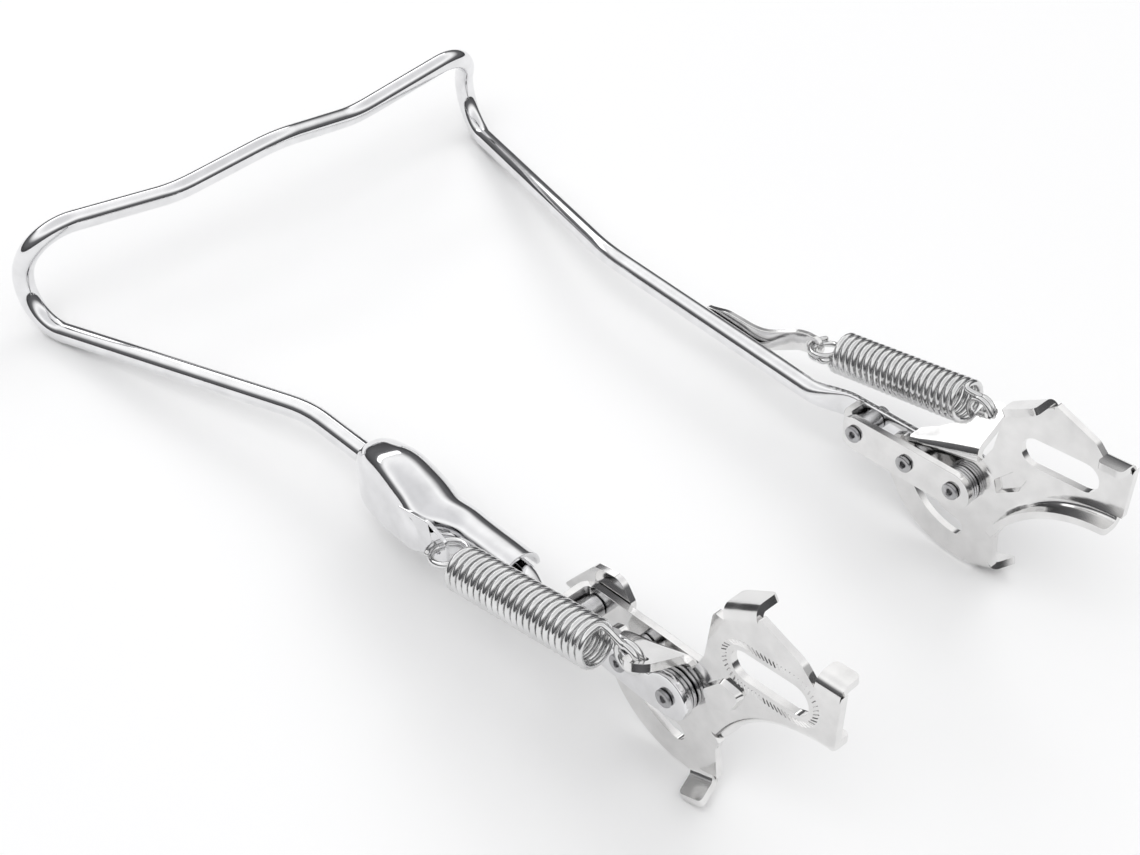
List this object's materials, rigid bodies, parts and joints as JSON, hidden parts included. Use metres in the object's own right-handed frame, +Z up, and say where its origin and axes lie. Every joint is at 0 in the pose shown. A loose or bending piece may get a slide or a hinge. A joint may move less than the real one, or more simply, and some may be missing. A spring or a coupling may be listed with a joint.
{
  "type": "bicycle rear stand",
  "caption": "Double-leg bicycle stand: U-shaped bent rod hinged on slotted axle brackets, with return springs and a foot pedal.",
  "frame": {"origin": "middle of the bounding box's underside; the stand lies on two bracket hooks and two foot corners at Z = 0", "axes": "+X from the pedal side to the other side, along the hinge line; +Y from the brackets to the foot bar; +Z up"},
  "size_m": [0.2238, 0.3654, 0.0857],
  "materials": {
    "chrome_rod": "bright chrome plating",
    "nickel_sheet": "bright nickel plating on stamped sheet",
    "rivet_steel": "plain rolled steel",
    "washer_steel": "zinc-plated steel",
    "spring_wire": "plated spring wire",
    "chrome_pedal": "bright chrome plating"
  },
  "bodies": {
    "stand": {"foot_pedal": "chrome_pedal", "left_inner_washer_1": "washer_steel", "left_inner_washer_2": "washer_steel", "left_inner_washer_3": "washer_steel", "left_link_strap": "nickel_sheet", "left_outer_washer_1": "washer_steel", "left_outer_washer_2": "washer_steel", "left_pivot_rivet": "rivet_steel", "left_rear_rivet": "rivet_steel", "left_rear_spacer": "washer_steel", "left_stop_rivet": "rivet_steel", "left_stop_sleeve": "washer_steel", "leg_frame": "chrome_rod", "lug_plate": "nickel_sheet", "right_inner_washer_1": "washer_steel", "right_inner_washer_2": "washer_steel", "right_inner_washer_3": "washer_steel", "right_link_strap": "nickel_sheet", "right_outer_washer_1": "washer_steel", "right_outer_washer_2": "washer_steel", "right_pivot_rivet": "rivet_steel", "right_rear_rivet": "rivet_steel", "right_rear_spacer": "washer_steel", "right_stop_rivet": "rivet_steel", "right_stop_sleeve": "washer_steel", "spring_anchor": "nickel_sheet"},
    "left_bracket": {"left_axle_bracket": "nickel_sheet"},
    "left_spring": {"left_spring_coil": "spring_wire"},
    "left_hook": {"left_spring_hook": "spring_wire"},
    "right_bracket": {"right_axle_bracket": "nickel_sheet"},
    "right_spring": {"right_spring_coil": "spring_wire"},
    "right_hook": {"right_spring_hook": "spring_wire"}
  },
  "joints": [
    {"name": "left_bracket_hinge", "type": "hinge", "parent": "stand", "child": "left_bracket", "pos_m": [-0.065, -0.12739, 0.03352], "axis": [1, 0, 0], "range_deg": [0, 86], "stiffness_Nm_per_rad": 1.5, "springref_deg": -17.19},
    {"name": "left_spring_swing", "type": "hinge", "parent": "stand", "child": "left_spring", "pos_m": [-0.0822, -0.03391, 0.02791], "axis": [1, 0, 0], "range_deg": [0, 8.97], "deforming": ["left_spring_coil"]},
    {"name": "left_hook_slide", "type": "slide", "parent": "left_spring", "child": "left_hook", "axis": [0.0128, -0.9684, 0.249], "range_m": [0, 0.01933], "deforming": ["left_spring_hook"]},
    {"name": "right_bracket_hinge", "type": "hinge", "parent": "stand", "child": "right_bracket", "pos_m": [0.065, -0.12739, 0.03352], "axis": [1, 0, 0], "range_deg": [0, 86], "stiffness_Nm_per_rad": 1.5, "springref_deg": -17.19},
    {"name": "right_spring_swing", "type": "hinge", "parent": "stand", "child": "right_spring", "pos_m": [0.0823, -0.04678, 0.031], "axis": [1, 0, 0], "range_deg": [0, 10.17], "deforming": ["right_spring_coil"]},
    {"name": "right_hook_slide", "type": "slide", "parent": "right_spring", "child": "right_hook", "axis": [-0.0163, -0.9677, 0.2515], "range_m": [0, 0.01946], "deforming": ["right_spring_hook"]}
  ],
  "couplings": [
    {"joint": "left_spring_swing", "follows": "left_bracket_hinge", "ratio": 0.10084},
    {"joint": "left_hook_slide", "follows": "left_bracket_hinge", "m_per_rad": 0.012611},
    {"joint": "right_spring_swing", "follows": "right_bracket_hinge", "ratio": 0.11477},
    {"joint": "right_hook_slide", "follows": "right_bracket_hinge", "m_per_rad": 0.012702}
  ]
}
